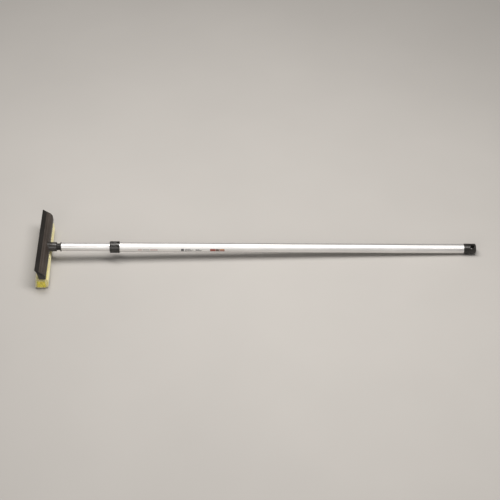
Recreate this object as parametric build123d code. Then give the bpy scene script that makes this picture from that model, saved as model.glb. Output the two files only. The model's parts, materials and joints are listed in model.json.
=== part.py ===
from build123d import *
import os
from math import asin, atan2, cos, degrees, hypot, radians, sin

# Window squeegee on a telescopic pole, lying on its sponge and its end cap.
# Millimetres. X runs along the pole from the head to the end cap, Y along the blade, Z up.
# While it is built, x = 0 is the back of the head and z = 0 is the floor.
# At the end everything is moved along X so that the origin is the middle of the footprint.

# Driving dimensions.
channel_length = 200.0       # along Y
frame_length = 197.0
blade_length = 203.0
blade_reach = 30.3           # from the head's spine to the blade's working edge
blade_angle = 45.0           # slope of the blade, degrees from the floor
spine_height = 42.7          # where the slope's top face meets the back of the head
frame_bottom = 29.0          # underside of the head frame
frame_front = -16.2          # foot of the frame's slanted front wall

sponge_width = 30.0
sponge_length = 193.0
sponge_height = 28.7
sponge_middle = -13.4        # x of the sponge's centre line
net_thickness = 0.4

neck_height = 38.2           # pole axis above the floor at the back of the head
neck_radius = 10.9
neck_end = 16.5              # the distances below are along the pole, from the back of the head
flange_start = 24.8
flange_radius = 10.8
inner_tube_start = 27.3
inner_tube_end = 800.0
collar_start = 140.6
collar_end = 163.8
cap_start = 972.6
cap_end = 1001.2

inner_tube_radius = 9.5
inner_tube_wall = 0.8
outer_tube_radius = 11.0
outer_tube_wall = 0.9
collar_radius = 14.0
cap_radius = 12.0
cap_edge = 3.2               # rounding of the cap's free end
hang_hole_radius = 5.5
hang_hole_turn = 24.0        # degrees the hanging hole is turned about the pole
hang_hole_at = cap_end - 9.0
spindle_radius = 3.0

running_gap = 0.08           # radial clearance of a sliding or turning fit
seat_gap = 0.02              # radial clearance of a pressed plug in its tube

inner_bore = inner_tube_radius - inner_tube_wall
outer_bore = outer_tube_radius - outer_tube_wall

# The pole drops just enough for the cap to lie on the floor with the sponge.
cap_contact = cap_end - cap_edge
pole_tilt = degrees(asin(neck_height / hypot(cap_contact, cap_radius)) - atan2(cap_radius, cap_contact))
pole_direction = Vector(cos(radians(pole_tilt)), 0, -sin(radians(pole_tilt)))
pole_frame = Plane(origin=(0, 0, neck_height), x_dir=(0, 1, 0), z_dir=pole_direction)


# Shapes used by several pieces.
def slope(along, above):
    """Point (x, z) measured from the spine: along the blade's slope and square to it."""
    angle = radians(blade_angle)
    return (-along * cos(angle) + above * sin(angle), spine_height + along * sin(angle) + above * cos(angle))


def bar(outline, length, middle=0.0, rounding=()):
    """Prism along Y of a closed (x, z) outline, centred on y = middle.

    rounding lists (corner number, radius) for the corners that are rounded.
    """
    face = make_face(Polyline([(x, middle, z) for x, z in outline], close=True))
    for corner, radius in rounding:
        x, z = outline[corner]
        face = fillet(face.vertices().sort_by_distance((x, middle, z))[0], radius)
    return extrude(face, length / 2, dir=(0, 1, 0), both=True)


def slope_bar(points, length, middle=0.0, rounding=()):
    """Prism along Y of a closed outline given in slope coordinates."""
    return bar([slope(along, above) for along, above in points], length, middle, rounding)


def block(x0, x1, y0, y1, z0, z1):
    """Box between two corners."""
    middle = ((x0 + x1) / 2, (y0 + y1) / 2, (z0 + z1) / 2)
    return Pos(*middle) * Box(x1 - x0, y1 - y0, z1 - z0)


def rod(start, end, radius):
    """Cylinder along the pole's axis, in the pole's own frame."""
    return Pos(0, 0, (start + end) / 2) * Cylinder(radius, end - start)


def turned(outline):
    """Solid of revolution about the pole's axis from (radius, distance) points."""
    wire = Polyline([(radius, 0, distance) for radius, distance in outline], close=True)
    return revolve(make_face(wire), Axis.Z)


def cross_pin(distance, radius, tube_radius):
    """Pin right through the pole whose ends are flush with a tube's surface."""
    pin = Pos(0, 0, distance) * Rot(90, 0, 0) * Cylinder(radius, 2 * tube_radius + 4)
    return pin & rod(distance - 2 * radius, distance + 2 * radius, tube_radius)


def side_pin(distance, radius, tube_radius, depth):
    """Short pin pressed in from below, from a tube's surface in to the given radius."""
    reach = tube_radius + 2
    pin = Pos(0, -(reach + depth) / 2, distance) * Rot(90, 0, 0) * Cylinder(radius, reach - depth)
    return pin & rod(distance - 2 * radius, distance + 2 * radius, tube_radius)


def thread(start, end, major, minor, pitch):
    """Threaded stud, its turns drawn as separate ridges."""
    root, crest = 0.38 * pitch, 0.14 * pitch
    outline = [(0, start), (minor, start)]
    turn = start + pitch / 2
    while turn + pitch / 2 <= end:
        outline += [(minor, turn - root), (major, turn - crest), (major, turn + crest), (minor, turn + root)]
        turn += pitch
    outline += [(minor, end), (0, end)]
    return turned(outline)


# Head. The blade channel is held on the frame by a T-rail, the rubber by its bead.
ceiling = -7.0               # underside of the blade channel, square to the slope
channel_front = 22.0         # front of the channel's underside, along the slope
rail_start = 2.4
rail_end = 5.6
rail_stem = (3.2, 4.8)
rail_neck = 1.6              # height of the rail's stem
rail_top = 2.8
blade_middle = -2.6          # middle plane of the rubber, square to the slope
blade_half = 1.75            # half the rubber's thickness at its root
blade_tip_half = 1.05
bead_centre = 10.2
bead_radius = 2.2
web_half = 1.3               # half the rubber's thickness between the channel's lips
lip_end = 20.0               # end of the channel's upper lip, along the slope
ridge_height = 0.8           # of the bulge over the bead
wall = 2.4                   # frame's end walls and ribs
rib_count = 4
hub_width = 26.0             # solid middle of the frame, behind the neck
recess_depth = 1.6           # seat of the backing plate
backing_edges = (-13.8, -3.8)
backing_length = 184.0
screw_row = (-84.0, -40.0, 40.0, 84.0)
screw_x = sum(backing_edges) / 2
screw_radius = 1.3
screw_length = 9.0
screw_head_radius = 2.8
screw_boss_radius = 3.4
socket_radius = 8.6
thread_major = 8.5
thread_minor = 7.4
thread_pitch = 2.65
notch_depth = -6.0           # x of the neck's inner end
peg_place = (13.2, -5.8)     # end clip's peg, in slope coordinates
peg_radius = 0.75
peg_length = 7.0
frame_rounding = ((0, 0.9), (1, 1.0), (2, 1.6), (3, 3.0), (4, 0.35))
channel_rounding = (
    (2, 1.5), (3, 1.2), (4, 0.8), (5, 0.8), (6, 0.8), (7, 0.8), (8, 0.6), (9, 0.5), (10, 0.3), (15, 0.3), (16, 0.5),
)


def rail_outline(gap):
    """T-rail, or its groove when gap is above zero, in slope coordinates."""
    stem0, stem1 = rail_stem
    neck = ceiling + rail_neck - gap
    top = ceiling + rail_top + gap
    return [
        (stem0 - gap, ceiling), (stem0 - gap, neck), (rail_start - gap, neck), (rail_start - gap, top),
        (rail_end + gap, top), (rail_end + gap, neck), (stem1 + gap, neck), (stem1 + gap, ceiling),
    ]


def frame_pockets():
    """Hollows under the frame, left between its cross ribs."""
    back, front, foot = -3.6, -13.0, frame_bottom + recess_depth - 0.1
    inside = [(front, foot), (back, foot), (back, 34.0), slope(1.2, ceiling - 2), slope(13.4, ceiling - 2)]
    first, last = hub_width / 2, frame_length / 2 - wall
    bay = (last - first - (rib_count - 1) * wall) / rib_count
    pockets = []
    for side in (-1, 1):
        for index in range(rib_count):
            middle = first + bay / 2 + index * (bay + wall)
            pockets.append(bar(inside, bay, side * middle))
    return pockets


def neck_bodies():
    """Neck socket, trimmed flat over the sponge, and its bore, in place."""
    place = pole_frame.location
    outside = rod(notch_depth, neck_end, neck_radius)
    outside = chamfer(outside.edges().sort_by(Axis.Z)[-1], 0.6)
    sponge_back = sponge_middle + sponge_width / 2
    over_sponge = block(-15, sponge_back + 0.6, -neck_radius, neck_radius, 20, frame_bottom)
    return place * outside - over_sponge, place * rod(-4.0, neck_end + 1, socket_radius)


def make_head_frame():
    outline = [(frame_front, frame_bottom), (-2.8, frame_bottom), (-1.0, 31.5), (-1.0, 37.0)]
    outline += [slope(0.9, -1.8), slope(0.9, ceiling)]
    outline += [slope(along, above) for along, above in rail_outline(0)]
    outline += [slope(channel_front, ceiling)]
    body = bar(outline, frame_length, rounding=frame_rounding)
    for pocket in frame_pockets():
        body -= pocket
    half = backing_length / 2 + 0.2
    back, front = backing_edges
    recess = block(back - 0.1, front + 0.1, -half, half, frame_bottom - 1, frame_bottom + recess_depth)
    for y in screw_row:
        body += Pos(screw_x, y, frame_bottom + 5.0) * Cylinder(screw_boss_radius, 10.0)
    outside, bore = neck_bodies()
    body = body + outside - bore - recess
    for y in screw_row:
        body -= Pos(screw_x, y, frame_bottom + screw_length / 2) * Cylinder(screw_radius, screw_length)
    return body


def channel_outline():
    """Blade channel in slope coordinates, without its T-groove."""
    slot = bead_radius * 0.64
    upper, lower = blade_middle + slot, blade_middle - slot
    throat = bead_centre + 0.8
    points = [(1.0, ceiling), (1.0, -1.6), (3.4, -0.8), (5.4, 0.0)]
    points += [(7.2, 0.0), (8.4, ridge_height), (12.2, ridge_height), (13.6, 0.0)]
    points += [(lip_end - 1.4, 0.0), (lip_end, -0.5), (lip_end, upper), (throat, upper)]
    points += [(throat, lower), (lip_end, lower), (lip_end, lower - 0.6), (23.2, lower - 0.8)]
    points += [(22.8, -6.4), (channel_front, ceiling)]
    return points


def bead(radius, length):
    x, z = slope(bead_centre, blade_middle)
    return Pos(x, 0, z) * Rot(90, 0, 0) * Cylinder(radius, length)


def make_blade_channel():
    body = slope_bar(channel_outline(), channel_length, rounding=channel_rounding)
    body -= bead(bead_radius + 0.1, channel_length + 2)
    body -= slope_bar(rail_outline(0.1), channel_length + 2)
    for side in (-1, 1):
        body -= clip_peg(side, 0.05)
    notch = pole_frame.location * rod(notch_depth - 0.3, 30, neck_radius + 0.35)
    return body - notch


def make_rubber_blade():
    thick_start, taper_start = 20.3, 22.5
    side = [(bead_centre, web_half), (thick_start, web_half), (thick_start, blade_half)]
    side += [(taper_start, blade_half), (blade_reach, blade_tip_half)]
    points = [(along, blade_middle - half) for along, half in side]
    points += [(along, blade_middle + half) for along, half in reversed(side)]
    return slope_bar(points, blade_length) + bead(bead_radius, blade_length)


def clip_peg(side, gap=0.0):
    """Peg of an end clip in the channel's lower lip, or its hole when gap is above zero."""
    x, z = slope(*peg_place)
    length = peg_length + gap
    return Pos(x, side * (channel_length - length) / 2, z) * Rot(90, 0, 0) * Cylinder(peg_radius + gap, length)


def make_end_clip(side):
    """Plate over one end of the channel, held by its peg."""
    thickness = (blade_length - channel_length) / 2
    middle = side * (channel_length + thickness) / 2
    plate = slope_bar(channel_outline(), thickness, middle, channel_rounding)
    plate -= bead(bead_radius + 0.1, blade_length + 2)
    return plate + clip_peg(side)


# Sponge, wrapped in its net and glued to a plate that is screwed to the frame.
sponge_rounding = 3.0


def sponge_block(shrink, length):
    body = Pos(sponge_middle, 0, sponge_height / 2) * Box(
        sponge_width - 2 * shrink, length, sponge_height - 2 * shrink)
    return fillet(body.edges().filter_by(Axis.Y), sponge_rounding - shrink)


def make_sponge_core():
    return sponge_block(net_thickness, sponge_length - 1)


def make_sponge_net():
    return sponge_block(0, sponge_length) - sponge_block(net_thickness, sponge_length + 2)


def make_sponge_backing():
    back, front = backing_edges
    half = backing_length / 2
    plate = block(back, front, -half, half, sponge_height, frame_bottom + recess_depth)
    for y in screw_row:
        plate -= Pos(screw_x, y, sponge_height) * Cylinder(screw_radius + 0.3, 8.0)
        plate -= Pos(screw_x, y, sponge_height + 0.5) * Cylinder(screw_head_radius + 0.1, 1.0)
    return plate


def make_backing_screws():
    shank_length = 7.4
    screws = []
    for y in screw_row:
        head = Pos(screw_x, y, sponge_height + 0.5) * Cylinder(screw_head_radius, 0.96)
        shank_middle = sponge_height + 0.7 + shank_length / 2
        shank = Pos(screw_x, y, shank_middle) * Cylinder(screw_radius - seat_gap, shank_length)
        screws.append(head + shank)
    return Compound(screws)


# Inner pole.
crimp_pin_radius = 1.5
tip_pin_at = inner_tube_start + 10.0
lock_pin_at = inner_tube_end - 14.0
spigot_length = 30.0


def make_tip_plug():
    body = thread(-3.0, flange_start, thread_major, thread_minor, thread_pitch)
    body += rod(flange_start, inner_tube_start, flange_radius)
    spigot_end = inner_tube_start + spigot_length
    spigot = rod(inner_tube_start, spigot_end, inner_bore - seat_gap) - rod(inner_tube_start + 4, spigot_end + 1, 5.5)
    return body + spigot - cross_pin(tip_pin_at, crimp_pin_radius, inner_tube_radius)


def make_inner_tube():
    body = rod(inner_tube_start, inner_tube_end, inner_tube_radius)
    body -= rod(inner_tube_start - 1, inner_tube_end + 1, inner_bore)
    for place in (tip_pin_at, lock_pin_at):
        body -= cross_pin(place, crimp_pin_radius, inner_tube_radius + 1)
    return body


def make_crimp_pin(place):
    return cross_pin(place, crimp_pin_radius - seat_gap, inner_tube_radius)


# Twist lock: turning the inner pole draws the wedge into the slotted sleeve, which grips the outer tube.
spindle_end = inner_tube_end + 46.0
sleeve_start = inner_tube_end + 3.3
sleeve_end = sleeve_start + 30.0
cone_start = sleeve_start + 6.0
cone_mouth = 4.6             # radius where the sleeve's cone starts
cone_taper = 0.145           # radius gained per millimetre
wedge_start = sleeve_start + 13.0
wedge_end = sleeve_end + 4.0
slot_count = 3
spindle_pitch = 2.0


def make_lock_plug():
    body = rod(inner_tube_end - spigot_length, inner_tube_end, inner_bore - seat_gap)
    body += rod(inner_tube_end, inner_tube_end + 3, inner_tube_radius)
    body -= rod(inner_tube_end - 24, inner_tube_end + 4, spindle_radius + seat_gap)
    return body - cross_pin(lock_pin_at, crimp_pin_radius, inner_tube_radius)


def make_lock_spindle():
    shank = rod(inner_tube_end - 8, cone_start, spindle_radius)
    return shank + thread(cone_start, spindle_end, spindle_radius, spindle_radius - 0.4, spindle_pitch)


def cone_radius(distance):
    return cone_mouth + (distance - cone_start) * cone_taper


def make_lock_sleeve():
    outer = outer_bore - running_gap
    body = chamfer(rod(sleeve_start, sleeve_end, outer).edges(), 0.5)
    body -= rod(sleeve_start - 1, cone_start + 1, spindle_radius + running_gap)
    past_end = sleeve_end + 1
    cone = [(0, cone_start), (cone_radius(cone_start), cone_start), (cone_radius(past_end), past_end), (0, past_end)]
    body -= turned(cone)
    for index in range(slot_count):
        slot = block(0, outer + 1, -0.9, 0.9, cone_start + 3, past_end)
        body -= Rot(0, 0, 360 * index / slot_count) * slot
    return body


def make_lock_wedge():
    gap = 0.3
    small, large = cone_radius(wedge_start) - gap, cone_radius(sleeve_end) - gap
    body = turned([(0, wedge_start), (small, wedge_start), (large, sleeve_end), (large, wedge_end), (0, wedge_end)])
    for index in range(slot_count):
        key = block(3.5, 8.8, -0.6, 0.6, wedge_start, wedge_end - 1)
        body += Rot(0, 0, 360 * index / slot_count) * key
    return body - rod(wedge_start - 1, wedge_end + 1, spindle_radius + running_gap)


def make_lock_end_nut():
    nut = Pos(0, 0, spindle_end - 2) * extrude(RegularPolygon(5.6, 6), 4.0)
    return nut - rod(spindle_end - 3, spindle_end + 3, spindle_radius + seat_gap)


# Outer pole with its collar and its hanging cap.
mouth = collar_start + 3.0   # front face of the bush, inside the collar
bush_flange = 1.2
bush_length = 32.0
collar_bore = inner_tube_radius + 0.6
collar_groove_count = 26
collar_groove_radius = 0.9
collar_groove_depth = 0.4
short_pin_radius = 1.2
collar_pin_at = collar_end - 6.0
cap_pin_at = cap_start + 7.0
tube_rear = cap_start + 13.0
cap_groove_pitch = 1.9
cap_groove_width = 0.8
cap_groove_depth = 0.5


def short_pin_hole(place, outside, depth):
    return side_pin(place, short_pin_radius + seat_gap, outside + 1, depth)


def make_outer_tube():
    body = rod(mouth + bush_flange, tube_rear, outer_tube_radius) - rod(mouth, tube_rear + 1, outer_bore)
    for place in (collar_pin_at, cap_pin_at):
        body -= short_pin_hole(place, outer_tube_radius, outer_bore - 1)
    return body


def make_collar_bush():
    body = rod(mouth + bush_flange, mouth + bush_length, outer_bore - seat_gap)
    body += rod(mouth, mouth + bush_flange, outer_tube_radius)
    body -= rod(mouth - 1, mouth + bush_length + 1, inner_tube_radius + running_gap)
    return body - short_pin_hole(collar_pin_at, outer_tube_radius, inner_tube_radius)


def make_collar():
    seat = outer_tube_radius + seat_gap
    waist = collar_radius - 0.15
    outline = [(collar_bore, collar_start), (collar_radius - 1.6, collar_start)]
    outline += [(collar_radius - 0.5, collar_start + 0.7), (waist, collar_start + 2.2), (waist, collar_end - 4.4)]
    outline += [(collar_radius, collar_end - 3.6), (collar_radius, collar_end - 1.0)]
    outline += [(collar_radius - 1.0, collar_end)]
    outline += [(seat, collar_end), (seat, mouth), (collar_bore, mouth)]
    body = turned(outline)
    groove_middle = collar_radius + collar_groove_radius - collar_groove_depth
    groove = Pos(groove_middle, 0, 0) * rod(collar_start + 3.5, collar_end - 5.5, collar_groove_radius)
    for index in range(collar_groove_count):
        body -= Rot(0, 0, 360 * (index + 0.5) / collar_groove_count) * groove
    return body - short_pin_hole(collar_pin_at, collar_radius, outer_tube_radius - 1)


def make_collar_pin():
    return side_pin(collar_pin_at, short_pin_radius, collar_radius - 0.4, inner_tube_radius + running_gap + 0.1)


def make_end_plug():
    body = rod(cap_start - 1.5, tube_rear, outer_bore - seat_gap) - rod(cap_start - 2, tube_rear - 2, 7.6)
    return body - short_pin_hole(cap_pin_at, outer_tube_radius, 7)


def hang_hole():
    turn = Rot(0, 0, hang_hole_turn)
    return turn * Pos(0, 0, hang_hole_at) * Rot(90, 0, 0) * Cylinder(hang_hole_radius, 4 * cap_radius)


def make_end_cap():
    body = rod(cap_start, cap_end, cap_radius)
    body = fillet(body.edges().sort_by(Axis.Z)[-1], cap_edge)
    body = chamfer(body.edges().sort_by(Axis.Z)[0], 0.6)
    body -= rod(cap_start - 1, tube_rear, outer_tube_radius + seat_gap)
    groove = cap_start + 2.2
    while groove < tube_rear - 1.2:
        ring = rod(groove, groove + cap_groove_width, cap_radius + 1)
        body -= ring - rod(groove - 1, groove + 2, cap_radius - cap_groove_depth)
        groove += cap_groove_pitch
    return body - hang_hole() - short_pin_hole(cap_pin_at, cap_radius, outer_tube_radius - 1)


def make_cap_pin():
    return side_pin(cap_pin_at, short_pin_radius, cap_radius - 0.6, 8)


# Assembly. The pole's pieces are built about its own axis and then put in place.
parts = {
    "head_frame": make_head_frame(),
    "blade_channel": make_blade_channel(),
    "rubber_blade": make_rubber_blade(),
    "blade_end_clip_near": make_end_clip(-1),
    "blade_end_clip_far": make_end_clip(1),
    "sponge_core": make_sponge_core(),
    "sponge_net": make_sponge_net(),
    "sponge_backing": make_sponge_backing(),
    "backing_screws": make_backing_screws(),
}
pole_pieces = {
    "tip_plug": make_tip_plug(),
    "tip_pin": make_crimp_pin(tip_pin_at),
    "inner_tube": make_inner_tube(),
    "lock_plug": make_lock_plug(),
    "lock_plug_pin": make_crimp_pin(lock_pin_at),
    "lock_spindle": make_lock_spindle(),
    "lock_end_nut": make_lock_end_nut(),
    "lock_sleeve": make_lock_sleeve(),
    "lock_wedge": make_lock_wedge(),
    "outer_tube": make_outer_tube(),
    "collar": make_collar(),
    "collar_bush": make_collar_bush(),
    "collar_pin": make_collar_pin(),
    "end_plug": make_end_plug(),
    "end_cap": make_end_cap(),
    "cap_pin": make_cap_pin(),
}
for name, solid in pole_pieces.items():
    parts[name] = pole_frame.location * solid

boxes = [solid.bounding_box() for solid in parts.values()]
middle_x = (min(b.min.X for b in boxes) + max(b.max.X for b in boxes)) / 2
to_origin = Pos(-middle_x, 0, 0)

os.makedirs("parts", exist_ok=True)
for name, solid in parts.items():
    export_step(to_origin * solid, f"parts/{name}.step")
print("pole tilt", round(pole_tilt, 4), "origin shift", round(middle_x, 4))
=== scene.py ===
import json
import math

import bmesh
import bpy
import numpy as np
from mathutils import Matrix, Quaternion, Vector, noise
from mathutils.bvhtree import BVHTree

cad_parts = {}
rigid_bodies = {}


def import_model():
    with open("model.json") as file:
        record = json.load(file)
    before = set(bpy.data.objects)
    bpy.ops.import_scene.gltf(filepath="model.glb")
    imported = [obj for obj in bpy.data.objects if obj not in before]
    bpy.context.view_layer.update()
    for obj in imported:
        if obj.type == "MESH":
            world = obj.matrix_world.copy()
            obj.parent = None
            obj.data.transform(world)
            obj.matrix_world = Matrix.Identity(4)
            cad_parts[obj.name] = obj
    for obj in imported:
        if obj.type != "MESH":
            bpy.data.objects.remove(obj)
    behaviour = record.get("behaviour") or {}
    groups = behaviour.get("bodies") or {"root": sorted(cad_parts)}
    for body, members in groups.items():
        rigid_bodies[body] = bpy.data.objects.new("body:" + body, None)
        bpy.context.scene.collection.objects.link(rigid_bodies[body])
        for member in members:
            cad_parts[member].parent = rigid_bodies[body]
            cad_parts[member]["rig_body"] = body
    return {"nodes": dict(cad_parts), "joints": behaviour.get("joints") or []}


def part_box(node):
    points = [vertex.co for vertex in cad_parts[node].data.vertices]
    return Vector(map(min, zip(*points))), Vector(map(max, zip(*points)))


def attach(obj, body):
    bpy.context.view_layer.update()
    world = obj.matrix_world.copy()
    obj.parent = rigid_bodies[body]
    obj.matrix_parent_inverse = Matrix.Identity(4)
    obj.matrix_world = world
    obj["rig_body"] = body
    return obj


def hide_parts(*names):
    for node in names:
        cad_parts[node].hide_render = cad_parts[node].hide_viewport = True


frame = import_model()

scene = bpy.context.scene
nodes = frame["nodes"]
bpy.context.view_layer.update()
mm = 0.001

# the pole's line is read from the joints of the frame
joints = {joint["name"]: joint for joint in frame["joints"]}
poleDir = -Vector(joints["pole_slide"]["axis"]).normalized()  # from the head to the end cap
polePoint = Vector(joints["pole_twist"]["pos_m"])
poleSide = Vector((0, 1, 0))
poleUp = poleDir.cross(poleSide).normalized()
poleTurn = Matrix((poleSide, poleUp, poleDir)).transposed()  # turned pieces are made along local Z
poleTilt = math.atan2(-poleDir.z, poleDir.x)


def poleSpan(nodeName):  # where a CAD node starts and ends along the pole
    places = [(v.co - polePoint).dot(poleDir) for v in nodes[nodeName].data.vertices]
    return min(places), max(places)


def poleRadius(nodeName):  # how far a CAD node reaches from the pole's middle line
    offsets = (v.co - polePoint for v in nodes[nodeName].data.vertices)
    return max((offset - offset.dot(poleDir) * poleDir).length for offset in offsets)


def onPole(radius, angle, along):  # angle 0 points up, 90 degrees points towards -Y
    outward = math.cos(angle) * poleUp - math.sin(angle) * poleSide
    return polePoint + radius * outward + along * poleDir


# small helpers

def addNode(tree, kind, inputs=None, **settings):
    made = tree.nodes.new(kind)
    for key, value in settings.items():
        setattr(made, key, value)
    for key, value in (inputs or {}).items():
        if isinstance(value, bpy.types.NodeSocket):
            tree.links.new(value, made.inputs[key])
        else:
            made.inputs[key].default_value = value
    return made


def calc(tree, operation, a, b=0.0, c=0.0):
    return addNode(tree, "ShaderNodeMath", {0: a, 1: b, 2: c}, operation=operation).outputs[0]


def mapRange(tree, value, low, high, toLow=0.0, toHigh=1.0):
    inputs = {"Value": value, "From Min": low, "From Max": high, "To Min": toLow, "To Max": toHigh}
    return addNode(tree, "ShaderNodeMapRange", inputs).outputs[0]


def mixColour(tree, factor, a, b, blend="MIX"):
    inputs = {0: factor, 6: a, 7: b}
    return addNode(tree, "ShaderNodeMix", inputs, data_type="RGBA", blend_type=blend).outputs[2]


def shaded(tree, base, tone):
    return mixColour(tree, 1.0, base, tone, "MULTIPLY")


def times(tree, a, b):
    return calc(tree, "MULTIPLY", a, b)


def plusShare(tree, value, field, share):
    return calc(tree, "ADD", value, times(tree, field, share))


def addPiece(name, mesh):
    piece = bpy.data.objects.new(name, mesh)
    scene.collection.objects.link(piece)
    return piece


def meshFrom(work, name):
    mesh = bpy.data.meshes.new(name)
    work.to_mesh(mesh)
    work.free()
    return mesh


def smoothSharp(mesh, degrees=35):
    for polygon in mesh.polygons:
        polygon.use_smooth = True
    mesh.set_sharp_from_angle(angle=math.radians(degrees))


def evaluatedMesh(piece):
    graph = bpy.context.evaluated_depsgraph_get()
    graph.update()
    mesh = bpy.data.meshes.new_from_object(piece.evaluated_get(graph))
    mesh.name = piece.name
    return mesh


def applyModifiers(piece):
    mesh = evaluatedMesh(piece)
    piece.modifiers.clear()
    piece.data = mesh


def dress(piece, material, body, replaced=()):
    if not piece.data.materials:
        piece.data.materials.append(material)
    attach(piece, body)
    if replaced:
        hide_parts(*replaced)
    return piece


# finishes

def newFinish(name):
    material = bpy.data.materials.new(name)
    material.use_nodes = True
    tree = material.node_tree
    return material, tree, tree.nodes["Principled BSDF"]


def coordsOf(tree, scale=(1, 1, 1), alongPole=False):
    place = addNode(tree, "ShaderNodeTexCoord").outputs["Object"]
    if alongPole:  # x runs down the middle of the pole
        start = -(Matrix.Rotation(-poleTilt, 3, "Y") @ polePoint)
        inputs = {"Vector": place, "Rotation": (0, -poleTilt, 0), "Location": start}
        place = addNode(tree, "ShaderNodeMapping", inputs).outputs[0]
    return addNode(tree, "ShaderNodeMapping", {"Vector": place, "Scale": scale}).outputs[0]


def noiseField(tree, coords, scale, detail=3.0, rough=0.55):
    inputs = {"Vector": coords, "Scale": scale, "Detail": detail, "Roughness": rough}
    return addNode(tree, "ShaderNodeTexNoise", inputs).outputs[0]


def bumpOf(tree, height, distance, strength=1.0, under=None):
    inputs = {"Height": height, "Distance": distance, "Strength": strength}
    if under:
        inputs["Normal"] = under
    return addNode(tree, "ShaderNodeBump", inputs).outputs[0]


def feed(tree, shader, **sources):
    for key, value in sources.items():
        socket = shader.inputs[key.replace("_", " ")]
        if isinstance(value, bpy.types.NodeSocket):
            tree.links.new(value, socket)
        else:
            socket.default_value = value


usual = (0.3, 0.7)  # most of a noise field lies between these values


def roughnessOf(tree, field, look, marks, span=usual):
    smooth, rough = look["roughness"] - marks["smoother"], look["roughness"] + marks["rougher"]
    return mapRange(tree, field, *span, smooth, rough)


drawn = {  # scales of the marks, the part of each field that shows, and what it does
    "lines": (5, 1500, 1500), "rings": (900, 25, 25), "cloud": 14, "speck": 900,
    "ringPart": (0.60, 0.72), "wornPart": (0.5, 0.65), "linePart": (0.25, 0.75),
    "lineTone": (0.86, 1.06), "cloudTone": (0.95, 1.04), "smoother": 0.05, "rougher": 0.09,
    "cloudRough": 0.06, "scuffRough": 0.12, "lineHeight": 0.6, "speckHeight": 0.4,
    "depth": 0.02 * mm, "strength": 0.5,
}


def drawnAluminium(name, look):
    material, tree, shader = newFinish(name)
    straight = coordsOf(tree, alongPole=True)
    lines = noiseField(tree, coordsOf(tree, drawn["lines"], True), 1.0, 4)  # from drawing the tube
    rings = noiseField(tree, coordsOf(tree, drawn["rings"], True), 1.0, 3)  # rub marks of sliding
    cloud = noiseField(tree, straight, drawn["cloud"], 5)
    speck = noiseField(tree, straight, drawn["speck"], 2)
    scuff = mapRange(tree, rings, *drawn["ringPart"])
    scuff = times(tree, scuff, mapRange(tree, cloud, *drawn["wornPart"]))
    tone = mapRange(tree, lines, *usual, *drawn["lineTone"])
    tone = times(tree, tone, mapRange(tree, cloud, *usual, *drawn["cloudTone"]))
    base = shaded(tree, look["colour"], tone)
    base = mixColour(tree, times(tree, scuff, look["scuffs"]), base, look["scuffColour"])
    rough = roughnessOf(tree, lines, look, drawn, drawn["linePart"])
    rough = plusShare(tree, rough, cloud, drawn["cloudRough"])
    rough = plusShare(tree, rough, scuff, drawn["scuffRough"])
    height = times(tree, lines, drawn["lineHeight"])
    height = plusShare(tree, height, speck, drawn["speckHeight"])
    normal = bumpOf(tree, height, drawn["depth"], drawn["strength"])
    normal = bumpOf(tree, scuff, -drawn["depth"], drawn["strength"], normal)
    feed(tree, shader, Base_Color=base, Metallic=1.0, Roughness=rough, Normal=normal)
    return material


moulded = {
    "cloud": 35, "dust": 620, "streakPart": (0.63, 0.70), "scratchedPart": (0.42, 0.6),
    "dustPart": (0.62, 0.75), "dustyPart": (0.4, 0.7), "cloudTone": (0.8, 1.25),
    "smoother": 0.05, "rougher": 0.08, "scratchRough": 0.15, "glossEdge": 3 * mm,
    "grainStrength": 0.7, "scratchDepth": 0.03 * mm, "scratchStrength": 0.6, "specular": 0.5,
}


def mouldedPlastic(name, look):
    material, tree, shader = newFinish(name)
    place = coordsOf(tree)
    grain = noiseField(tree, place, look["grainScale"], 4, 0.6)
    cloud = noiseField(tree, place, moulded["cloud"], 5, 0.6)
    streak = noiseField(tree, coordsOf(tree, look["scratchScale"]), 1.0, 3)
    dust = noiseField(tree, place, moulded["dust"], 2, 0.7)
    scratch = mapRange(tree, streak, *moulded["streakPart"])
    scratch = times(tree, scratch, mapRange(tree, cloud, *moulded["scratchedPart"]))
    dusty = mapRange(tree, dust, *moulded["dustPart"])
    dusty = times(tree, dusty, mapRange(tree, cloud, *moulded["dustyPart"]))
    base = shaded(tree, look["colour"], mapRange(tree, cloud, *usual, *moulded["cloudTone"]))
    base = mixColour(tree, times(tree, scratch, look["scratches"]), base, look["scratchColour"])
    base = mixColour(tree, times(tree, dusty, look["dust"]), base, look["dustColour"])
    rough = roughnessOf(tree, cloud, look, moulded)
    rough = plusShare(tree, rough, scratch, moulded["scratchRough"])
    if "glossFrom" in look:  # the neck is polished, the rest is satin
        along = addNode(tree, "ShaderNodeSeparateXYZ", {0: place}).outputs[0]
        gloss = mapRange(tree, along, look["glossFrom"], look["glossFrom"] + moulded["glossEdge"])
        rough = calc(tree, "SUBTRACT", rough, times(tree, gloss, look["glossGain"]))
    normal = bumpOf(tree, grain, look["grainDepth"], moulded["grainStrength"])
    normal = bumpOf(tree, scratch, -moulded["scratchDepth"], moulded["scratchStrength"], normal)
    feed(tree, shader, Base_Color=base, Roughness=rough, Normal=normal)
    feed(tree, shader, Specular_IOR_Level=look.get("specular", moulded["specular"]))
    return material


rubbery = {
    "cloud": 28, "fine": 1400, "drag": (60, 500, 60), "bloomPart": (0.48, 0.72),
    "dragPart": (0.35, 0.7), "smoother": 0.06, "rougher": 0.1, "fineDepth": 0.03 * mm,
    "fineStrength": 0.6, "dragDepth": 0.04 * mm, "dragStrength": 0.4, "specular": 0.4,
}


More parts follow.
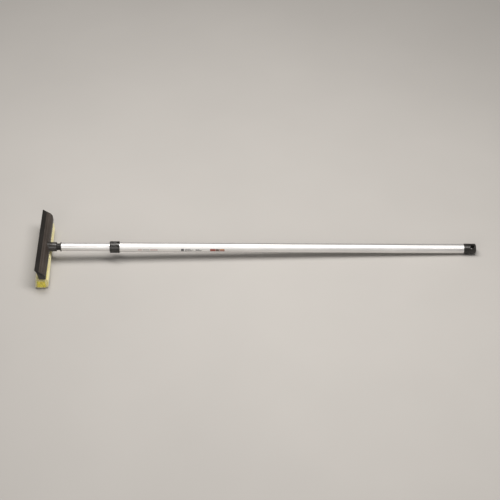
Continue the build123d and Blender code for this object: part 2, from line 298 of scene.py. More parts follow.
def bladeRubber(name, look):
    material, tree, shader = newFinish(name)
    place = coordsOf(tree)
    cloud = noiseField(tree, place, rubbery["cloud"], 5, 0.6)
    fine = noiseField(tree, place, rubbery["fine"], 3, 0.6)
    drag = noiseField(tree, coordsOf(tree, rubbery["drag"]), 1.0, 3)  # wiping marks over the strip
    bloom = mapRange(tree, cloud, *rubbery["bloomPart"])
    bloom = times(tree, bloom, mapRange(tree, drag, *rubbery["dragPart"]))
    bloom = times(tree, bloom, look["bloom"])
    base = mixColour(tree, bloom, look["colour"], look["bloomColour"])
    rough = roughnessOf(tree, cloud, look, rubbery)
    normal = bumpOf(tree, fine, rubbery["fineDepth"], rubbery["fineStrength"])
    normal = bumpOf(tree, drag, rubbery["dragDepth"], rubbery["dragStrength"], normal)
    feed(tree, shader, Base_Color=base, Roughness=rough, Normal=normal)
    feed(tree, shader, Specular_IOR_Level=rubbery["specular"])
    return material


foamy = {
    "cell": 760.0, "bigCell": 310.0, "cloud": 60, "cut": (520, 520, 22),
    "cellPart": (0.1, 0.5), "bigPart": (0.12, 0.38), "wornPart": (0.35, 0.7),
    "cutPart": (0.35, 0.65), "cutTone": (0.66, 1.14), "poreDepth": 0.5 * mm, "poreStrength": 0.8,
    "cutDepth": 0.4 * mm, "cutStrength": 0.5, "roughness": 0.9, "specular": 0.2,
    "glow": 0.15, "glowDepth": 2 * mm,
}


def foamCells(tree, place, scale):
    cells = addNode(tree, "ShaderNodeTexVoronoi", {"Vector": place, "Scale": scale})
    return cells.outputs["Distance"]


def openFoam(name, look):
    material, tree, shader = newFinish(name)
    place = coordsOf(tree)
    cells = foamCells(tree, place, foamy["cell"])
    big = foamCells(tree, place, foamy["bigCell"])
    cloud = noiseField(tree, place, foamy["cloud"], 5, 0.6)
    cut = noiseField(tree, coordsOf(tree, foamy["cut"]), 1.0, 3)  # knife marks of the cut ends
    pore = mapRange(tree, cells, *foamy["cellPart"])
    pore = calc(tree, "MINIMUM", pore, mapRange(tree, big, *foamy["bigPart"]))
    # the darker pore colour is painted shade in the pore hollows
    base = mixColour(tree, pore, look["poreShadeColour"], look["colour"])
    base = mixColour(tree, mapRange(tree, cloud, *foamy["wornPart"]), base, look["wornColour"])
    base = shaded(tree, base, mapRange(tree, cut, *foamy["cutPart"], *foamy["cutTone"]))
    normal = bumpOf(tree, pore, foamy["poreDepth"], foamy["poreStrength"])
    normal = bumpOf(tree, cut, foamy["cutDepth"], foamy["cutStrength"], normal)
    feed(tree, shader, Base_Color=base, Roughness=foamy["roughness"], Normal=normal)
    feed(tree, shader, Specular_IOR_Level=foamy["specular"])
    feed(tree, shader, Subsurface_Weight=foamy["glow"], Subsurface_Scale=foamy["glowDepth"])
    return material


yarny = {
    "fibre": 2600, "cloud": 45, "fibreTone": (0.78, 1.08), "dirtPart": (0.35, 0.7),
    "depth": 0.1 * mm, "strength": 0.6, "roughness": 0.62, "sheen": 0.3,
}


def netYarn(name, look):
    material, tree, shader = newFinish(name)
    place = coordsOf(tree)
    fibre = noiseField(tree, place, yarny["fibre"], 3, 0.7)
    cloud = noiseField(tree, place, yarny["cloud"], 4)
    dirt = mapRange(tree, cloud, *yarny["dirtPart"])
    base = mixColour(tree, dirt, look["colour"], look["dirtColour"])
    base = shaded(tree, base, mapRange(tree, fibre, *usual, *yarny["fibreTone"]))
    normal = bumpOf(tree, fibre, yarny["depth"], yarny["strength"])
    feed(tree, shader, Base_Color=base, Roughness=yarny["roughness"], Normal=normal)
    feed(tree, shader, Sheen_Weight=yarny["sheen"])
    return material


plated = {
    "cloud": 240, "fine": (300, 2500, 2500), "cloudTone": (0.8, 1.1), "roughness": (0.22, 0.42),
    "depth": 0.01 * mm, "strength": 0.5,
}


def platedSteel(name, look):
    material, tree, shader = newFinish(name)
    cloud = noiseField(tree, coordsOf(tree), plated["cloud"], 4)
    fine = noiseField(tree, coordsOf(tree, plated["fine"], True), 1.0, 3)
    base = shaded(tree, look["colour"], mapRange(tree, cloud, *usual, *plated["cloudTone"]))
    rough = mapRange(tree, fine, *usual, *plated["roughness"])
    normal = bumpOf(tree, fine, plated["depth"], plated["strength"])
    feed(tree, shader, Base_Color=base, Metallic=1.0, Roughness=rough, Normal=normal)
    return material


inky = {
    "screen": 2200, "cloud": 160, "screenTone": (0.85, 1.12), "wornPart": (0.62, 0.75),
    "roughness": (0.38, 0.55), "depth": 0.01 * mm, "strength": 0.5,
}


def printedInk(name, look):
    material, tree, shader = newFinish(name)
    place = coordsOf(tree)
    screen = noiseField(tree, place, inky["screen"], 2)
    cloud = noiseField(tree, place, inky["cloud"], 4)
    base = shaded(tree, look["colour"], mapRange(tree, screen, *usual, *inky["screenTone"]))
    base = mixColour(tree, mapRange(tree, cloud, *inky["wornPart"]), base, look["wornColour"])
    rough = mapRange(tree, cloud, *usual, *inky["roughness"])
    normal = bumpOf(tree, screen, inky["depth"], inky["strength"])
    feed(tree, shader, Base_Color=base, Roughness=rough, Normal=normal)
    return material


black = (0.020, 0.018, 0.016, 1)
plasticLook = {
    "colour": black, "roughness": 0.42, "grainScale": 1500, "grainDepth": 0.06 * mm,
    "scratchScale": (30, 260, 260), "scratches": 0.35, "scratchColour": (0.16, 0.15, 0.14, 1),
    "dust": 0.30, "dustColour": (0.34, 0.32, 0.29, 1),
}
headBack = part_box("blade_channel")[1].x  # the neck starts behind the channel
finishes = {
    "outerTube": drawnAluminium("satin outer tube", {
        "colour": (0.90, 0.89, 0.88, 1), "roughness": 0.44,
        "scuffs": 0.25, "scuffColour": (0.6, 0.6, 0.6, 1)}),
    "innerTube": drawnAluminium("satin inner tube", {
        "colour": (0.88, 0.87, 0.86, 1), "roughness": 0.42,
        "scuffs": 0.5, "scuffColour": (0.5, 0.5, 0.5, 1)}),
    "head": mouldedPlastic("head moulding", {
        **plasticLook, "colour": (0.022, 0.019, 0.017, 1), "roughness": 0.46,
        "glossFrom": headBack, "glossGain": 0.21, "specular": 0.6}),
    "channel": mouldedPlastic("channel extrusion", {
        **plasticLook, "colour": (0.038, 0.029, 0.023, 1), "roughness": 0.50,
        "scratchScale": (220, 8, 220), "dust": 0.45}),
    "clip": mouldedPlastic("end clip moulding", {**plasticLook, "roughness": 0.5}),
    "plug": mouldedPlastic("tip plug moulding", {**plasticLook, "roughness": 0.34}),
    "collar": mouldedPlastic("collar moulding", {
        **plasticLook, "colour": (0.012, 0.010, 0.008, 1), "roughness": 0.28, "specular": 0.6}),
    "cap": mouldedPlastic("cap moulding", {
        **plasticLook, "colour": (0.018, 0.016, 0.014, 1), "roughness": 0.38, "dust": 0.4}),
    "hidden": mouldedPlastic("pale inner moulding", {
        **plasticLook, "colour": (0.52, 0.52, 0.49, 1), "roughness": 0.5,
        "scratchColour": (0.4, 0.4, 0.38, 1), "dustColour": (0.3, 0.3, 0.3, 1)}),
    "rubber": bladeRubber("blade rubber", {
        "colour": (0.010, 0.0085, 0.007, 1), "roughness": 0.52,
        "bloom": 0.5, "bloomColour": (0.036, 0.029, 0.024, 1)}),
    "foam": openFoam("open cell foam", {
        # the pore colour is painted shade in the pore hollows
        "colour": (0.90, 0.78, 0.10, 1), "poreShadeColour": (0.46, 0.36, 0.02, 1),
        "wornColour": (0.90, 0.79, 0.20, 1)}),
    "net": netYarn("net yarn", {
        "colour": (0.84, 0.78, 0.50, 1), "dirtColour": (0.80, 0.74, 0.44, 1)}),
    "steel": platedSteel("plated steel", {"colour": (0.62, 0.62, 0.60, 1)}),
}
print("finishes:", len(finishes))


# shells: copies of the CAD shapes with moulded edges

edging = {"weld": 0.001 * mm, "flat": math.radians(0.5), "angle": math.radians(28), "steps": 2}


def roundedCopy(newName, nodeName, material, width):
    work = bmesh.new()
    work.from_mesh(nodes[nodeName].data)
    bmesh.ops.remove_doubles(work, verts=work.verts, dist=edging["weld"])
    bmesh.ops.dissolve_limit(
        work, angle_limit=edging["flat"], verts=work.verts, edges=work.edges, delimit={"NORMAL"})
    mesh = meshFrom(work, newName)
    smoothSharp(mesh)
    piece = addPiece(newName, mesh)
    rounding = piece.modifiers.new("edge rounding", "BEVEL")
    rounding.width = width
    rounding.segments = edging["steps"]
    rounding.limit_method = "ANGLE"
    rounding.angle_limit = edging["angle"]
    rounding.harden_normals = True
    rounding.use_clamp_overlap = True
    applyModifiers(piece)
    return dress(piece, material, nodes[nodeName]["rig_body"], [nodeName])


shells = [  # new name, CAD node, finish, edge radius
    ("headShell", "head_frame", "head", 0.35 * mm),
    ("bladeChannel", "blade_channel", "channel", 0.25 * mm),
    ("nearEndClip", "blade_end_clip_near", "clip", 0.2 * mm),
    ("farEndClip", "blade_end_clip_far", "clip", 0.2 * mm),
    ("wiperBlade", "rubber_blade", "rubber", 0.12 * mm),
    ("collarShell", "collar", "collar", 0.15 * mm),
    ("capShell", "end_cap", "cap", 0.2 * mm),
]
for newName, nodeName, finish, width in shells:
    roundedCopy(newName, nodeName, finishes[finish], width)
print("head, collar and cap shells:", len(shells))

kept = {  # CAD nodes that show as they are, with a finish
    "outer_tube": "outerTube", "inner_tube": "innerTube", "tip_pin": "innerTube",
    "lock_plug_pin": "steel", "collar_pin": "steel", "cap_pin": "steel", "lock_spindle": "steel",
    "lock_end_nut": "steel", "backing_screws": "steel", "sponge_backing": "hidden",
    "lock_plug": "hidden", "lock_sleeve": "hidden", "lock_wedge": "hidden",
    "collar_bush": "hidden", "end_plug": "hidden",
}
for nodeName, finish in kept.items():
    nodes[nodeName].data.materials.clear()
    nodes[nodeName].data.materials.append(finishes[finish])


# threaded tip plug

def newGeometryTree(name, sockets):
    tree = bpy.data.node_groups.new(name, "GeometryNodeTree")
    tree.interface.new_socket("Geometry", in_out="INPUT", socket_type="NodeSocketGeometry")
    tree.interface.new_socket("Geometry", in_out="OUTPUT", socket_type="NodeSocketGeometry")
    for label, kind, value in sockets:
        made = tree.interface.new_socket(label, in_out="INPUT", socket_type="NodeSocket" + kind)
        if value is not None:
            made.default_value = value
    given = tree.nodes.new("NodeGroupInput")
    return tree, {socket.name: socket for socket in given.outputs if socket.name}


def closeTree(tree, geometry, material):
    whole = addNode(tree, "GeometryNodeRealizeInstances", {0: geometry}).outputs[0]
    painted = addNode(tree, "GeometryNodeSetMaterial", {"Geometry": whole, "Material": material})
    addNode(tree, "NodeGroupOutput", {0: painted.outputs[0]})


def joinTwo(tree, first, second):
    both = addNode(tree, "GeometryNodeJoinGeometry")
    tree.links.new(first, both.inputs[0])
    tree.links.new(second, both.inputs[0])
    return both.outputs[0]


def runTree(name, tree, values, start=None):
    piece = addPiece(name, start or bpy.data.meshes.new(name + "Start"))
    modifier = piece.modifiers.new("nodes", "NODES")
    modifier.node_group = tree
    for item in tree.interface.items_tree:
        if item.item_type == "SOCKET" and item.in_out == "INPUT" and item.name in values:
            modifier[item.identifier] = values[item.name]
    applyModifiers(piece)
    return piece


tipPlug = {
    "crest": 8.5 * mm, "root": 7.4 * mm, "pitch": 2.65 * mm, "flank": (0.13, 0.37),
    "runIn": 2.0 * mm, "runOut": 0.8 * mm, "overlap": 0.4 * mm, "weld": 0.002 * mm,
    "flangeWidth": 2.5 * mm, "edge": 0.5 * mm, "edgeShare": 0.3, "hollow": 3 * mm,
    "tubeWall": 0.82 * mm,
}


def threadTree():  # a screw thread wrapped round local Z, closed at both ends
    tree, given = newGeometryTree("screwThread", [
        ("Root Radius", "Float", tipPlug["root"]), ("Crest Radius", "Float", tipPlug["crest"]),
        ("Pitch", "Float", tipPlug["pitch"]), ("Length", "Float", 26 * mm),
        ("Steps Round", "Int", 72), ("Steps Along", "Int", 180), ("Material", "Material", None)])
    grid = addNode(tree, "GeometryNodeMeshGrid", {
        "Size X": 2 * math.pi, "Size Y": 1.0, "Vertices X": given["Steps Round"],
        "Vertices Y": given["Steps Along"]}).outputs[0]
    place = addNode(tree, "ShaderNodeSeparateXYZ", {
        0: addNode(tree, "GeometryNodeInputPosition").outputs[0]})
    angle = place.outputs[0]
    share = calc(tree, "ADD", place.outputs[1], 0.5)
    along = times(tree, share, given["Length"])
    turns = calc(tree, "SUBTRACT", calc(tree, "DIVIDE", along, given["Pitch"]),
                 calc(tree, "DIVIDE", angle, 2 * math.pi))
    ridge = mapRange(tree, calc(tree, "PINGPONG", turns, 0.5), *tipPlug["flank"])
    left = calc(tree, "SUBTRACT", given["Length"], along)
    fade = times(tree, mapRange(tree, along, 0.0, tipPlug["runIn"]),
                 mapRange(tree, left, 0.0, tipPlug["runOut"]))
    height = calc(tree, "SUBTRACT", given["Crest Radius"], given["Root Radius"])
    ridge = times(tree, ridge, fade)
    radius = calc(tree, "MULTIPLY_ADD", ridge, height, given["Root Radius"])
    nearlyHalf = 0.4999  # leaves out the first and the last row, which close onto the axis
    radius = times(tree, radius, calc(tree, "COMPARE", share, 0.5, nearlyHalf))
    moved = addNode(tree, "ShaderNodeCombineXYZ", {
        0: times(tree, radius, calc(tree, "COSINE", angle)),
        1: times(tree, radius, calc(tree, "SINE", angle)), 2: along}).outputs[0]
    wrapped = addNode(tree, "GeometryNodeSetPosition", {"Geometry": grid, "Position": moved})
    joined = addNode(tree, "GeometryNodeMergeByDistance", {
        "Geometry": wrapped.outputs[0], "Distance": tipPlug["weld"]}).outputs[0]
    closeTree(tree, joined, given["Material"])
    return tree


def outwards(mesh):
    work = bmesh.new()
    work.from_mesh(mesh)
    bmesh.ops.remove_doubles(work, verts=work.verts, dist=edging["weld"] / 2)
    bmesh.ops.recalc_face_normals(work, faces=work.faces)
    work.to_mesh(mesh)
    work.free()


def lathe(name, outline, steps=96):  # outline: closed loop of (radius, place along the pole)
    work = bmesh.new()
    rings = []
    for index in range(steps):
        angle = 2 * math.pi * index / steps
        rings.append([work.verts.new(onPole(radius, angle, along)) for radius, along in outline])
    for index in range(steps):
        here, after = rings[index], rings[(index + 1) % steps]
        for spot in range(len(outline)):
            other = (spot + 1) % len(outline)
            work.faces.new((here[spot], here[other], after[other], after[spot]))
    mesh = meshFrom(work, name)
    outwards(mesh)
    return mesh


def makeTipPlug():
    start, end = poleSpan("tip_plug")
    tubeStart = poleSpan("inner_tube")[0]
    flangeStart = tubeStart - tipPlug["flangeWidth"]
    stud = runTree("tipThread", threadTree(), {
        "Root Radius": tipPlug["root"], "Crest Radius": tipPlug["crest"],
        "Pitch": tipPlug["pitch"], "Length": flangeStart + tipPlug["overlap"] - start,
        "Material": finishes["plug"]})
    stud.data.transform(Matrix.Translation(polePoint + start * poleDir) @ poleTurn.to_4x4())
    outwards(stud.data)
    smoothSharp(stud.data, 50)
    dress(stud, finishes["plug"], "inner_pole", ["tip_plug"])
    tubeBore = poleRadius("inner_tube") - tipPlug["tubeWall"]
    rim, edge, hollow = poleRadius("tip_plug"), tipPlug["edge"], tipPlug["hollow"]
    part = tipPlug["edgeShare"] * edge
    outline = [
        (hollow, flangeStart), (rim - edge, flangeStart), (rim - part, flangeStart + part),
        (rim, flangeStart + edge), (rim, tubeStart - edge), (rim - part, tubeStart - part),
        (rim - edge, tubeStart), (tubeBore, tubeStart), (tubeBore, end - edge),
        (tubeBore - edge, end), (hollow, end),
    ]
    flange = addPiece("tipFlange", lathe("tipFlange", outline))
    smoothSharp(flange.data)
    dress(flange, finishes["plug"], "inner_pole", ["tip_plug"])


makeTipPlug()
print("tip plug: thread and flange")


# sponge

sponge = {  # spreads run from the foot to the top of the sponge's near end
    "shrink": 1.3 * mm, "voxel": 4.2 * mm, "pressure": 4.0, "swellCap": 1.5 * mm, "frames": 20,
    "quality": 6, "finer": 3, "poreDepth": 0.32 * mm, "poreScale": 560, "poreEdge": (0.12, 0.5),
    "mouth": 0.64, "pinch": 1.0 * mm, "pinchOutside": 0.08, "pinchWidth": 0.12,
    "endZone": (0.5 * mm, 7 * mm), "reach": 1.6 * mm, "footReach": 5.4 * mm, "reachZone": 30 * mm,
    "topWave": 0.5 * mm, "topWaves": 45, "sideWave": 0.7 * mm, "sideWaves": 30, "sideFrom": 0.7,
    "flareFrom": 0.40, "tucked": 0.7 * mm, "tuckedLess": 0.65, "tuckedUntil": 0.65,
    "backSpread": (1.4 * mm, 3.6 * mm), "frontSpread": (1.8 * mm, -2.2 * mm),
    "recess": (-2 * mm, 1.5 * mm), "bulge": 0.5 * mm, "foot": 0.12 * mm,
}
coreLow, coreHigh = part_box("sponge_core")
coreMiddle = (coreLow + coreHigh) / 2
coreHalf = (coreHigh - coreLow) / 2
backingLow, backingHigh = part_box("sponge_backing")


def blockMesh(name, low, high):
    work = bmesh.new()
    bmesh.ops.create_cube(work, size=1.0)
    for vert in work.verts:
        vert.co = Vector(
            ((low[i] + high[i]) / 2 + vert.co[i] * (high[i] - low[i]) for i in range(3)))
    return meshFrom(work, name)


def remesh(piece):
    modifier = piece.modifiers.new("voxels", "REMESH")
    modifier.mode = "VOXEL"
    modifier.voxel_size = sponge["voxel"]
    applyModifiers(piece)


def swell(piece):  # the block crowns as if it were lightly inflated
    frames = sponge["frames"]
    count = len(piece.data.vertices)
    before = np.empty(count * 3)
    piece.data.vertices.foreach_get("co", before)
    cloth = piece.modifiers.new("filling", "CLOTH")
    cloth.settings.use_pressure = True
    cloth.settings.uniform_pressure_force = sponge["pressure"]
    cloth.settings.effector_weights.gravity = 0
    cloth.settings.quality = sponge["quality"]
    cloth.point_cache.frame_start = 1
    cloth.point_cache.frame_end = frames
    for step in range(1, frames + 1):
        scene.frame_set(step)
    mesh = evaluatedMesh(piece)
    after = np.empty(count * 3)
    mesh.vertices.foreach_get("co", after)
    piece.modifiers.clear()
    scene.frame_set(1)
    move = (after - before).reshape(-1, 3)
    length = np.linalg.norm(move, axis=1, keepdims=True)
    notZero = 1e-9
    move *= np.minimum(1.0, sponge["swellCap"] / np.maximum(length, notZero))
    piece.data.vertices.foreach_set("co", (before.reshape(-1, 3) + move).ravel())
    piece.data.update()


def smoothStep(value, low, high):
    share = min(1.0, max(0.0, (value - low) / (high - low)))
    return share * share * (3 - 2 * share)


def between(ends, share):
    return ends[0] + (ends[1] - ends[0]) * share


def spongeShape(place):  # pressed by the frame and the floor, pinched by the net at its ends
    x, y, z = place - coreMiddle
    fromEnd = coreHalf.y - abs(y)
    rim = max(abs(x) / coreHalf.x, abs(z) / coreHalf.z)
    offRing = (rim - sponge["mouth"] - sponge["pinchOutside"]) / sponge["pinchWidth"]
    endShare = 1 - smoothStep(fromEnd, *sponge["endZone"])
    y -= math.copysign(sponge["pinch"] * math.exp(-offRing ** 2) * endShare, y)
    height = (z + coreHalf.z) / (2 * coreHalf.z)
    reach = sponge["reach"] + (sponge["footReach"] * (1 - height) if y < 0 else 0)
    y += math.copysign(reach * (1 - smoothStep(fromEnd, 0, sponge["reachZone"])), y)
    z += sponge["topWave"] * noise.noise(Vector((x, y, 0)) * sponge["topWaves"]) * endShare
    sideShare = smoothStep(abs(x), coreHalf.x * sponge["sideFrom"], coreHalf.x)
    x += sponge["sideWave"] * noise.noise(Vector((z, y, 3)) * sponge["sideWaves"]) * sideShare
    flare = smoothStep(-y, coreHalf.y * sponge["flareFrom"], coreHalf.y)
    behind = (x + coreHalf.x) / (2 * coreHalf.x)
    freed = sponge["tuckedLess"] * smoothStep(-y, 0, coreHalf.y * sponge["tuckedUntil"])
    tucked = sponge["tucked"] * (1 - freed)
    back = between(sponge["backSpread"], height)
    front = between(sponge["frontSpread"], height)
    x += behind * (back * flare - tucked * (1 - flare)) - (1 - behind) * front * flare
    recessLow, recessHigh = sponge["recess"]
    inRecess = backingLow.x + recessLow < coreMiddle.x + x < backingHigh.x + recessHigh
    top = coreHalf.z if inRecess else coreHalf.z + sponge["bulge"]
    z = min(top, max(-coreHalf.z + sponge["foot"], z))
    return coreMiddle + Vector((x, y, z))


def makeSponge():
    grown = Vector((sponge["shrink"],) * 3)
    piece = addPiece("spongePad", blockMesh("spongePad", coreLow + grown, coreHigh - grown))
    remesh(piece)
    swell(piece)
    finer = piece.modifiers.new("finer", "SUBSURF")
    finer.levels = finer.render_levels = sponge["finer"]
    applyModifiers(piece)
    mesh = piece.data
    for vert in mesh.vertices:
        vert.co = spongeShape(vert.co)
    mesh.update()
    smooth = [(vert.co.copy(), vert.normal.copy()) for vert in mesh.vertices]
    for vert, (place, normal) in zip(mesh.vertices, smooth):
        cell = noise.voronoi(place * sponge["poreScale"])[0][0]
        depth = sponge["poreDepth"] * (1 - smoothStep(cell, *sponge["poreEdge"]))
        vert.co = place - normal * depth
    smoothSharp(mesh, 180)
    dress(piece, finishes["foam"], "inner_pole", ["sponge_core"])
    return piece, smooth


spongePad, spongeSkin = makeSponge()
print("sponge:", len(spongePad.data.polygons), "faces")


# net over the sponge

net = {  # knot and foot are in yarn radii
    "cell": 2.1 * mm, "yarn": 0.26 * mm, "sides": 4, "knot": 1.35, "corner": 3.4 * mm,
    "around": 2 * mm, "endRows": 5, "endPast": 3 * mm, "lift": 0.284 * mm, "foot": 1.36,
}


def yarnTree():  # round yarn along every edge, with a knot at every crossing
    tree, given = newGeometryTree("yarnNet", [
        ("Yarn Radius", "Float", net["yarn"]), ("Sides", "Int", net["sides"]),
        ("Knot Size", "Float", net["knot"]), ("Material", "Material", None)])
    lines = addNode(tree, "GeometryNodeMeshToCurve", {"Mesh": given["Geometry"]}).outputs[0]
    section = addNode(tree, "GeometryNodeCurvePrimitiveCircle", {
        "Resolution": given["Sides"], "Radius": given["Yarn Radius"]}).outputs[0]
    yarn = addNode(tree, "GeometryNodeCurveToMesh", {
        "Curve": lines, "Profile Curve": section, "Fill Caps": True}).outputs[0]
    knotRadius = times(tree, given["Yarn Radius"], given["Knot Size"])
    knot = addNode(tree, "GeometryNodeMeshIcoSphere", {
        "Radius": knotRadius, "Subdivisions": 1}).outputs[0]
    knots = addNode(tree, "GeometryNodeInstanceOnPoints", {
        "Points": given["Geometry"], "Instance": knot}).outputs[0]
    closeTree(tree, joinTwo(tree, yarn, knots), given["Material"])
    return tree


def netSection(share, scale):  # a point on the rounded rectangle round the sponge
    wide, high = coreHalf.x + net["around"], coreHalf.z + net["around"]
    corner = net["corner"]
    flatX, flatZ, arc = 2 * (wide - corner), 2 * (high - corner), math.pi / 2 * corner
    walk = (share % 1) * 2 * (flatX + flatZ + 2 * arc)
    for side in range(4):
        flat, across = (flatX, high) if side % 2 == 0 else (flatZ, wide)
        if walk <= flat:
            along = walk - flat / 2
            break
        walk -= flat
        if walk <= arc:
            turned = walk / corner
            along = flat / 2 + corner * math.sin(turned)
            across -= corner * (1 - math.cos(turned))
            break
        walk -= arc
    angle = side * math.pi / 2
    x = along * math.cos(angle) + across * math.sin(angle)
    z = -along * math.sin(angle) + across * math.cos(angle)
    return x * scale, z * scale


def netStations():  # where each row lies along the sponge, and how far it is drawn in
    rows = round(2 * coreHalf.y / net["cell"])
    endRows, drawnIn = net["endRows"], 1 - sponge["mouth"]
    first = [(-coreHalf.y - net["endPast"], 1 - drawnIn * (endRows - row) / endRows)
             for row in range(endRows)]
    straight = [(-coreHalf.y + 2 * coreHalf.y * row / rows, 1.0) for row in range(rows + 1)]
    return first + straight + [(-y, scale) for y, scale in reversed(first)]


def makeNet():
    skin = BVHTree.FromPolygons(
        [place for place, normal in spongeSkin],
        [tuple(polygon.vertices) for polygon in spongePad.data.polygons])
    girth = 4 * (coreHalf.x + coreHalf.z)
    columns = 2 * round(girth / net["cell"] / 2)
    work = bmesh.new()
    lattice = []
    for row, (y, scale) in enumerate(netStations()):
        line = []
        for column in range(columns):
            share = (column + 0.5 * (row % 2)) / columns
            x, z = netSection(share, scale)
            place, normal = skin.find_nearest(coreMiddle + Vector((x, y, z)))[:2]
            spot = place + normal * net["lift"]
            spot.z = max(spot.z, net["yarn"] * net["foot"])
            line.append(work.verts.new(spot))
        lattice.append(line)
    for row in range(len(lattice) - 1):
        for column in range(columns):
            other = column - 1 if row % 2 == 0 else (column + 1) % columns
            work.edges.new((lattice[row][column], lattice[row + 1][column]))
            work.edges.new((lattice[row][column], lattice[row + 1][other]))
    ends = [[vert.co.copy() for vert in line] for line in (lattice[0], lattice[-1])]
    piece = runTree("spongeNet", yarnTree(), {
        "Yarn Radius": net["yarn"], "Sides": net["sides"], "Material": finishes["net"]},
        meshFrom(work, "netLines"))
    smoothSharp(piece.data, 60)
    dress(piece, finishes["net"], "inner_pole", ["sponge_net"])
    return ends


drawCord = {  # its waves stand for the gathers of the net
    "radius": 0.55 * mm, "sides": 10, "knot": 0.9, "steps": 120, "waves": 12,
    "wave": 0.35 * mm, "outside": 0.3 * mm, "endWave": 0.5,
}


def makeDrawCords(ends):
    tree = yarnTree()
    steps = drawCord["steps"]
    for name, ring in zip(("nearDrawCord", "farDrawCord"), ends):
        middle = sum(ring, Vector()) / len(ring)
        work = bmesh.new()
        spots = []
        for index in range(steps):
            at = index / steps * len(ring)
            one, two = ring[int(at)], ring[(int(at) + 1) % len(ring)]
            spot = one.lerp(two, at - int(at))
            wave = drawCord["wave"] * math.sin(index * 2 * math.pi * drawCord["waves"] / steps)
            away = Vector((0, math.copysign(1.0, spot.y), 0))
            away *= drawCord["outside"] + wave * drawCord["endWave"]
            spots.append(work.verts.new(spot + away + (spot - middle).normalized() * wave))
        for index in range(steps):
            work.edges.new((spots[index], spots[(index + 1) % steps]))
        length = sum(edge.calc_length() for edge in work.edges)
        print(name, round(length / mm), "mm long")
        cord = runTree(name, tree, {
            "Yarn Radius": drawCord["radius"], "Sides": drawCord["sides"],
            "Knot Size": drawCord["knot"], "Material": finishes["net"]},
            meshFrom(work, name + "Line"))
        smoothSharp(cord.data, 60)
        dress(cord, finishes["net"], "inner_pole", ["sponge_net"])


makeDrawCords(makeNet())
print("net and draw cords")


# plain printed bars on the outer tube

mouth = poleSpan("outer_tube")[0]
printed = {  # facing is the turn from the top of the tube towards -Y
    "facing": math.radians(81), "lift": 0.02 * mm, "thick": 0.03 * mm,
    "worn": (0.6, 0.6, 0.6, 1),
}
inkColours = {
    "grey": (0.11, 0.11, 0.12, 1), "pink": (0.48, 0.20, 0.20, 1), "red": (0.30, 0.07, 0.05, 1),
    "brown": (0.13, 0.07, 0.05, 1), "amber": (0.52, 0.26, 0.13, 1),
}
bars = [  # ink, place from the mouth, length, height, offset round the tube, in millimetres
    ("pink", 62, 9, 1.6, 0.0), ("grey", 73, 16, 1.2, 0.0), ("pink", 91, 17, 1.6, 0.0),
    ("grey", 163, 6.5, 6.5, 0.0), ("grey", 172, 13, 1.1, 2.3), ("grey", 172, 20, 1.1, 0.0),
    ("grey", 172, 16, 1.1, -2.3), ("grey", 197, 9, 1.3, 1.2), ("grey", 197, 14, 1.3, -1.2),
    ("red", 231, 13, 6.5, 0.0), ("brown", 244.5, 9, 6.5, 0.0), ("amber", 254, 11, 3.0, 1.75),
    ("red", 254, 11, 3.0, -1.75),
]


def barTree():  # a thin patch bent round local Z
    tree, given = newGeometryTree("printedBar", [
        ("Radius", "Float", 11 * mm), ("Start", "Float", 0.0), ("Length", "Float", 10 * mm),
        ("Height", "Float", 2 * mm), ("Facing", "Float", 0.0),
        ("Thickness", "Float", printed["thick"]), ("Material", "Material", None)])
    patch = addNode(tree, "GeometryNodeMeshGrid", {
        "Size X": 1.0, "Size Y": 1.0, "Vertices X": 13, "Vertices Y": 3}).outputs[0]
    solid = addNode(tree, "GeometryNodeExtrudeMesh", {
        "Mesh": patch, "Offset": (0.0, 0.0, 1.0), "Offset Scale": 1.0,
        "Individual": False}).outputs[0]
    back = addNode(tree, "GeometryNodeFlipFaces", {"Mesh": patch}).outputs[0]
    closed = addNode(tree, "GeometryNodeMergeByDistance", {
        "Geometry": joinTwo(tree, solid, back), "Distance": 0.001}).outputs[0]
    place = addNode(tree, "ShaderNodeSeparateXYZ", {
        0: addNode(tree, "GeometryNodeInputPosition").outputs[0]})
    angle = times(tree, place.outputs[0], given["Height"])
    angle = calc(tree, "DIVIDE", angle, given["Radius"])
    angle = calc(tree, "ADD", angle, given["Facing"])
    radius = calc(tree, "MULTIPLY_ADD", place.outputs[2], given["Thickness"], given["Radius"])
    along = times(tree, calc(tree, "ADD", place.outputs[1], 0.5), given["Length"])
    moved = addNode(tree, "ShaderNodeCombineXYZ", {
        0: times(tree, radius, calc(tree, "COSINE", angle)),
        1: times(tree, radius, calc(tree, "SINE", angle)),
        2: calc(tree, "ADD", along, given["Start"])}).outputs[0]
    bent = addNode(tree, "GeometryNodeSetPosition", {"Geometry": closed, "Position": moved})
    closeTree(tree, bent.outputs[0], given["Material"])
    return tree


def makeBars():
    tree = barTree()
    inks = {
        ink: printedInk(ink + " ink", {"colour": colour, "wornColour": printed["worn"]})
        for ink, colour in inkColours.items()}
    tubeRadius = poleRadius("outer_tube")
    for number, (ink, start, length, height, aside) in enumerate(bars, 1):
        facing = math.pi / 2 + printed["facing"] - aside * mm / tubeRadius  # 90 degrees is up
        bar = runTree(f"printedBar{number:02d}", tree, {
            "Radius": tubeRadius + printed["lift"], "Start": mouth + start * mm,
            "Length": length * mm, "Height": height * mm, "Facing": facing,
            "Thickness": printed["thick"], "Material": inks[ink]})
        bar.data.transform(Matrix.Translation(polePoint) @ poleTurn.to_4x4())
        outwards(bar.data)
        smoothSharp(bar.data)
        dress(bar, inks[ink], "outer_pole")


makeBars()
print("printed bars:", len(bars))


# floor, light and camera

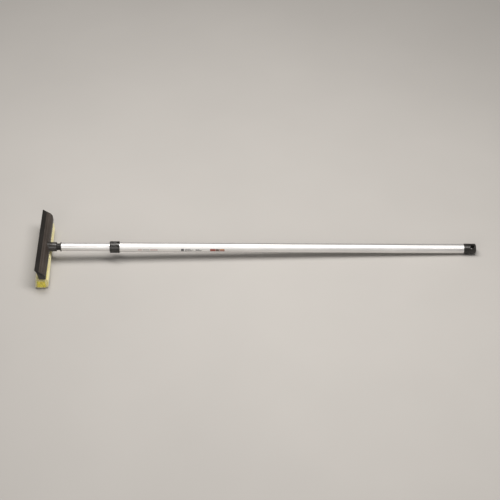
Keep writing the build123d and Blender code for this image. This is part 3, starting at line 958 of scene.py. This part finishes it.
studio = {
    "floor": (0.42, 0.405, 0.385, 1), "floorHalf": 6, "floorCloud": 2.0,
    "floorTone": (0.97, 1.03), "floorRough": 0.8, "world": 0.12, "sky": (1.0, 0.98, 0.96, 1),
    "lamp": (1.0, 0.97, 0.94), "mainAt": (0.05, 0.08, 1.9), "mainAim": (0, 0, 0),
    "mainSize": (2.3, 0.55), "mainPower": 55, "fillAt": (-0.7, -2.3, 1.3),
    "fillAim": (-0.2, 0, 0), "fillSize": (2.0, 1.2), "fillPower": 19,
}
view = {
    "lens": 99.69, "sensor": 36, "azimuth": 0.1445, "elevation": 44.7153, "roll": -0.9019,
    "distance": 3.25, "aim": (-0.017104, -0.008086, 0.026193),
}


def makeFloor():
    work = bmesh.new()
    bmesh.ops.create_grid(work, x_segments=1, y_segments=1, size=studio["floorHalf"])
    floor = addPiece("floor", meshFrom(work, "floor"))
    material, tree, shader = newFinish("plain pale floor")
    cloud = noiseField(tree, coordsOf(tree), studio["floorCloud"], 3)
    base = shaded(tree, studio["floor"], mapRange(tree, cloud, *usual, *studio["floorTone"]))
    feed(tree, shader, Base_Color=base, Roughness=studio["floorRough"])
    floor.data.materials.append(material)


def makeLight(name, which):
    data = bpy.data.lights.new(name, "AREA")
    data.shape = "RECTANGLE"
    data.size, data.size_y = studio[which + "Size"]
    data.energy = studio[which + "Power"]
    data.color = studio["lamp"]
    light = bpy.data.objects.new(name, data)
    scene.collection.objects.link(light)
    place, aim = Vector(studio[which + "At"]), Vector(studio[which + "Aim"])
    light.location = place
    light.rotation_euler = (aim - place).to_track_quat("-Z", "Y").to_euler()


def makeWorld():
    world = bpy.data.worlds.new("studio")
    world.use_nodes = True
    background = world.node_tree.nodes["Background"]
    background.inputs["Color"].default_value = studio["sky"]
    background.inputs["Strength"].default_value = studio["world"]
    scene.world = world


def makeCamera(look):
    data = bpy.data.cameras.new("camera")
    data.lens = look["lens"]
    data.sensor_width = look["sensor"]
    camera = bpy.data.objects.new("camera", data)
    scene.collection.objects.link(camera)
    turn, rise = math.radians(look["azimuth"]), math.radians(look["elevation"])
    level = math.cos(rise)
    back = Vector((math.sin(turn) * level, -math.cos(turn) * level, math.sin(rise)))
    camera.location = Vector(look["aim"]) + back * look["distance"]
    upright = (-back).to_track_quat("-Z", "Y")
    roll = Quaternion((0, 0, 1), math.radians(look["roll"]))
    camera.rotation_euler = (upright @ roll).to_euler()
    scene.camera = camera


makeFloor()
makeLight("overheadLight", "main")
makeLight("frontFill", "fill")
makeWorld()
scene.view_settings.view_transform = "Standard"
makeCamera(view)
print("studio")
